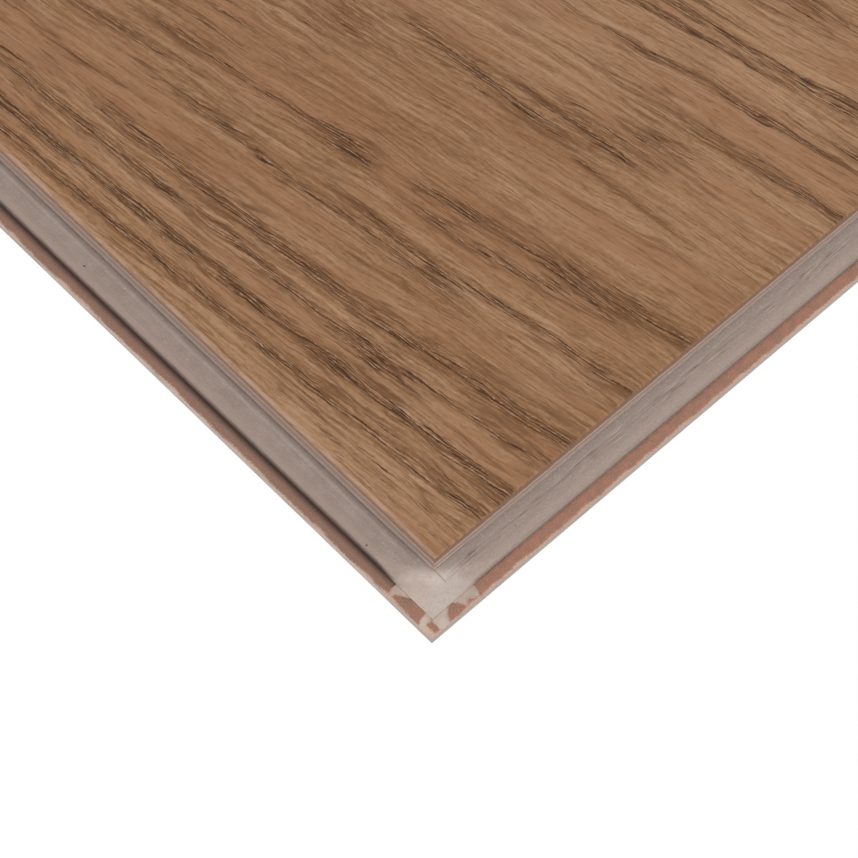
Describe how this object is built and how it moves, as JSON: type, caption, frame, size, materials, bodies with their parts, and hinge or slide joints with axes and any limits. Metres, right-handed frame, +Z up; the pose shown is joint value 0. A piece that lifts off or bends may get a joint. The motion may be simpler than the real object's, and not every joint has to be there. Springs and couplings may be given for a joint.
{
  "type": "vinyl floor plank",
  "caption": "Rigid vinyl floor plank with an oak-look printed face, a grey core with click groove and tongue edges, a thin brown film and a pale backing, chipped at one corner.",
  "frame": {"origin": "on the underside, below the centre of the printed face", "axes": "+X along the length towards the short groove side, +Y across the width towards the long tongue side, +Z up through the printed face"},
  "size_m": [1.2265, 0.1865, 0.005],
  "materials": {
    "printed_face": "satin",
    "rigid_core": "matte",
    "brown_film": "satin",
    "base_layer": "matte"
  },
  "bodies": {
    "root": {"printed_face": "printed_face", "rigid_core": "rigid_core", "brown_film": "brown_film", "base_layer": "base_layer"}
  },
  "joints": []
}
